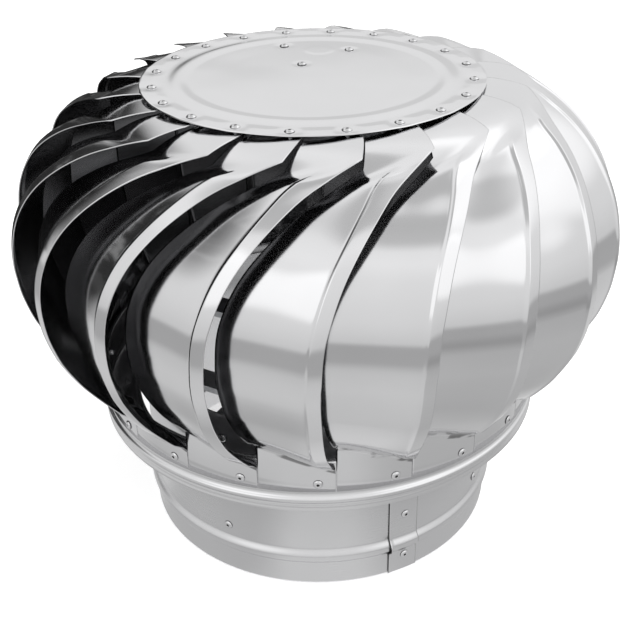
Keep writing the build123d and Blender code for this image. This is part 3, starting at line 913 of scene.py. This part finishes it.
daylight = room.node("ShaderNodeBackground", Color=(0.92, 0.92, 0.92, 1.0), Strength=0.6)
white = room.node("ShaderNodeBackground", Color=(1.0, 1.0, 1.0, 1.0), Strength=1.0)
seen = room.node("ShaderNodeMixShader", Fac=seen_directly(room))
room.feed(seen.inputs[1], daylight.outputs[0])
room.feed(seen.inputs[2], white.outputs[0])
room.feed(room.node("ShaderNodeOutputWorld").inputs["Surface"], seen.outputs[0])


# %% [markdown]
# ## Floor
# The sweep is matt paper wide enough to have no edge in view. Its own faint light lifts it to
# plain white for the eye and for mirrored rays, and only there.

# %% Floor
PAPER_GLOW = 0.62
FLOOR_REACH = 6.0


def stage_piece(bm, name, material):
    """A piece of the studio, which is not part of the ventilator."""
    mesh = bpy.data.meshes.new(name)
    bm.to_mesh(mesh)
    bm.free()
    mesh.materials.append(material)
    item = bpy.data.objects.new(name, mesh)
    bpy.context.scene.collection.objects.link(item)
    return item


paper = bpy.data.materials.new("white paper")
g = Finish(paper)
matt = g.node("ShaderNodeBsdfDiffuse", Color=(0.85, 0.85, 0.85, 1.0))
own_light = g.node("ShaderNodeEmission", Color=(1.0, 1.0, 1.0, 1.0), Strength=PAPER_GLOW)
both = g.node("ShaderNodeAddShader")
g.feed(both.inputs[0], matt.outputs[0])
g.feed(both.inputs[1], own_light.outputs[0])
lit = g.node("ShaderNodeMixShader", Fac=seen_directly(g))
g.feed(lit.inputs[1], matt.outputs[0])
g.feed(lit.inputs[2], both.outputs[0])
g.feed(g.node("ShaderNodeOutputMaterial").inputs["Surface"], lit.outputs[0])

bm = bmesh.new()
bmesh.ops.create_grid(bm, x_segments=1, y_segments=1, size=FLOOR_REACH)
stage_piece(bm, "floor", paper)
print("floor", 2 * FLOOR_REACH, "m wide")


# %% [markdown]
# ## Lamps
# Two square boxes of cloth give soft, plain light: the larger from above and the smaller from
# the front right. The sheet mirrors the curtain instead of them.

# %% Lamps
OBJECT_MIDDLE = (0, 0, 0.15)


def softbox(name, place, size, power):
    """A square area lamp at a place, aimed at the middle of the ventilator."""
    data = bpy.data.lights.new(name, "AREA")
    data.shape = "SQUARE"
    data.size = size
    data.energy = power
    lamp = bpy.data.objects.new(name, data)
    lamp.location = place
    lamp.rotation_mode = "QUATERNION"
    aim = Vector(OBJECT_MIDDLE) - Vector(place)
    lamp.rotation_quaternion = aim.to_track_quat("-Z", "Y")
    bpy.context.scene.collection.objects.link(lamp)
    lamp.visible_glossy = False


softbox("top box", (0.3, 0.2, 1.8), size=1.2, power=14.0)
softbox("front box", (1.0, -1.4, 1.2), size=1.0, power=9.0)
print("lamps", len(bpy.data.lights))

# %% [markdown]
# ## What the sheet mirrors
# Polished steel shows the room more than itself. Photographers hang cards round such an
# object: pale ones for even greys and a black one for depth. Here one round curtain does it,
# a sphere that only mirrored rays meet, banded by height and black along one side, and one
# grey card lies on the floor.

# %% Curtain
curtain_cloth = bpy.data.materials.new("studio curtain")
c = Finish(curtain_cloth)
place = c.node("ShaderNodeTexCoord").outputs["Object"]
seat = c.node("ShaderNodeMapping", Vector=place, Location=(0.0, 0.0, -0.15))
aim = c.node("ShaderNodeVectorMath", {"operation": "NORMALIZE"})
c.feed(aim.inputs[0], seat.outputs[0])
parts = c.node("ShaderNodeSeparateXYZ", Vector=aim.outputs[0])
aside, away, up = (Value(c.tree, parts.outputs[i]) for i in range(3))


def ramp(finish, value, stops):
    """Grey level along a value, from (position, level) stops."""
    made = finish.node(
        "ShaderNodeValToRGB",
        {"stops": tuple((at, (level, level, level)) for at, level in stops)},
        Fac=value,
    )
    made.color_ramp.interpolation = "LINEAR"
    split = finish.node("ShaderNodeSeparateColor", Color=made.outputs[0])
    return Value(finish.tree, split.outputs[0])


def height_stop(degrees):
    """Place on the ramp, from 0 straight down to 1 straight up, of an elevation."""
    return (math.sin(math.radians(degrees)) + 1) / 2


CURTAIN_REACH = 3.0
# grey levels of the curtain, as (elevation in degrees, level)
BANDS = (
    (-50, 0.66), (-24, 0.46), (-12, 0.44), (-4, 0.72), (8, 0.80), (40, 0.88), (52, 0.97),
    (61, 0.94), (67, 0.60), (79, 0.56), (84, 0.60), (89, 0.92),
)


def facing(azimuth, elevation):
    """How nearly a mirrored ray runs towards a place in the room, 1 for straight at it."""
    turn, lift = math.radians(azimuth), math.radians(elevation)
    x, y, z = math.sin(turn) * math.cos(lift), -math.cos(turn) * math.cos(lift), math.sin(lift)
    return aside * x + away * y + up * z


level = ramp(c, up * 0.5 + 0.5, [(height_stop(a), b) for a, b in BANDS])
# a dim corner far behind, and brighter cloths left, right, to one side and high at the back
corner = soft_edge(c, facing(178, 19.0), 0.955, 0.965) * (1 - soft_edge(c, up, 0.300, 0.330))
level = level * (1 - corner * 0.16)
box_left = soft_edge(c, facing(-40, 32), 0.93, 0.965)
box_right = soft_edge(c, facing(48, 31), 0.93, 0.965)
wall_right = soft_edge(c, facing(100, 48), 0.86, 0.96)
back_top = soft_edge(c, facing(140, 64), 0.965, 0.99)
level = level + (box_left + box_right) * 0.32 + wall_right * 0.28
level = level + back_top * 0.30
# the black cloth hangs along the left and behind, in an upper and a lower length
upper_black = soft_edge(c, facing(-122, 22), 0.84, 0.98)
lower_black = soft_edge(c, facing(-142, -12), 0.77, 0.85)
black = 1 - (1 - upper_black) * (1 - lower_black)
clutter = c.node("ShaderNodeTexNoise", Vector=aim.outputs[0], Scale=9.0, Detail=2.0)
specks = soft_edge(c, c.value(clutter), 0.56, 0.66)
dark_level = specks * 0.22 + 0.03
level = level * (1 - black) + dark_level * black
shine = c.node("ShaderNodeEmission", Color=level, Strength=1.0)
c.feed(c.node("ShaderNodeOutputMaterial").inputs["Surface"], shine.outputs[0])


def mirrored_only(item):
    """Only mirrored rays meet the piece: it throws no light or shadow of its own."""
    item.visible_camera = False
    item.visible_diffuse = False
    item.visible_transmission = False
    item.visible_volume_scatter = False
    item.visible_shadow = False


bm = bmesh.new()
bmesh.ops.create_uvsphere(bm, u_segments=48, v_segments=24, radius=CURTAIN_REACH)
mirrored_only(stage_piece(bm, "curtain", curtain_cloth))

# %% [markdown]
# ## Grey card
# The lower half of every blade looks down, so what lies on the floor shapes the belly. The
# card is pale close in, has a darker ring further out, and is black where the curtain is.

# %% Grey card on the floor
card_grey = bpy.data.materials.new("grey card")
k = Finish(card_grey)
spot = k.node("ShaderNodeTexCoord").outputs["Object"]
reach = k.node("ShaderNodeVectorMath", {"operation": "LENGTH"})
k.feed(reach.inputs[0], spot)
outward = k.node("ShaderNodeVectorMath", {"operation": "NORMALIZE"})
k.feed(outward.inputs[0], spot)
axes = k.node("ShaderNodeSeparateXYZ", Vector=outward.outputs[0])
east, north = Value(k.tree, axes.outputs[0]), Value(k.tree, axes.outputs[1])
# grey levels of the card, as (distance from the axis in metres, level)
CARD = (
    (0.10, 0.70), (0.13, 0.70), (0.17, 0.60), (0.24, 0.64), (0.30, 0.67), (0.43, 0.62),
    (0.52, 0.44), (1.02, 0.43), (1.35, 0.70), (3.0, 0.72),
)
CARD_REACH = 3.1
CARD_INNER, CARD_LIFT = 100.2, 0.6
span = Value(k.tree, reach.outputs["Value"])
grey = ramp(k, span * (1 / CARD_REACH), [(at / CARD_REACH, tone) for at, tone in CARD])
shadow_side = soft_edge(k, east * -0.50 + north * 0.87, 0.72, 0.80)
shadow_side = shadow_side * soft_edge(k, span, 0.16, 0.30)
grey = grey * (1 - shadow_side * 0.92)
right_side = soft_edge(k, east * 0.80 + north * -0.60, 0.72, 0.94)
left_near = soft_edge(k, east * -0.73 + north * -0.68, 0.80, 0.95)
left_near = left_near * (1 - soft_edge(k, span, 0.18, 0.26))
right_side = right_side * (1 - soft_edge(k, span, 0.50, 0.70))
grey = grey * (1 - right_side * 0.22) * (1 - left_near * 0.24)
glow = k.node("ShaderNodeEmission", Color=grey, Strength=1.0)
k.feed(k.node("ShaderNodeOutputMaterial").inputs["Surface"], glow.outputs[0])
bm = spun([(CARD_INNER, CARD_LIFT), (CARD_REACH / MM, CARD_LIFT)], steps=96)
mirrored_only(stage_piece(bm, "floor_card", card_grey))
print("curtain bands", len(BANDS), "card rings", len(CARD))

# %% [markdown]
# ## The pieces inside
# Bars and cups are plain pressed sheet, the spindle and its collars are turned, and the races
# are ground. Each node that stays as it was built gets the metal that it is made of.

# %% Finish
bpy.context.scene.view_settings.view_transform = "Standard"
for name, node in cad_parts.items():
    if node.hide_render:
        continue
    if "rivets" in name:
        metal = rivet_steel
    elif name == "top_cap":
        metal = cap_steel
    elif name == "bottom_ring":
        metal = ring_steel
    elif name == "neck_collar":
        metal = collar_steel
    elif "race" in name:
        metal = race_steel
    elif "bar" in name or "cup" in name or name == "hub_plate":
        metal = bracket_steel
    else:
        metal = turned_steel
    node.data.materials.clear()
    node.data.materials.append(metal)
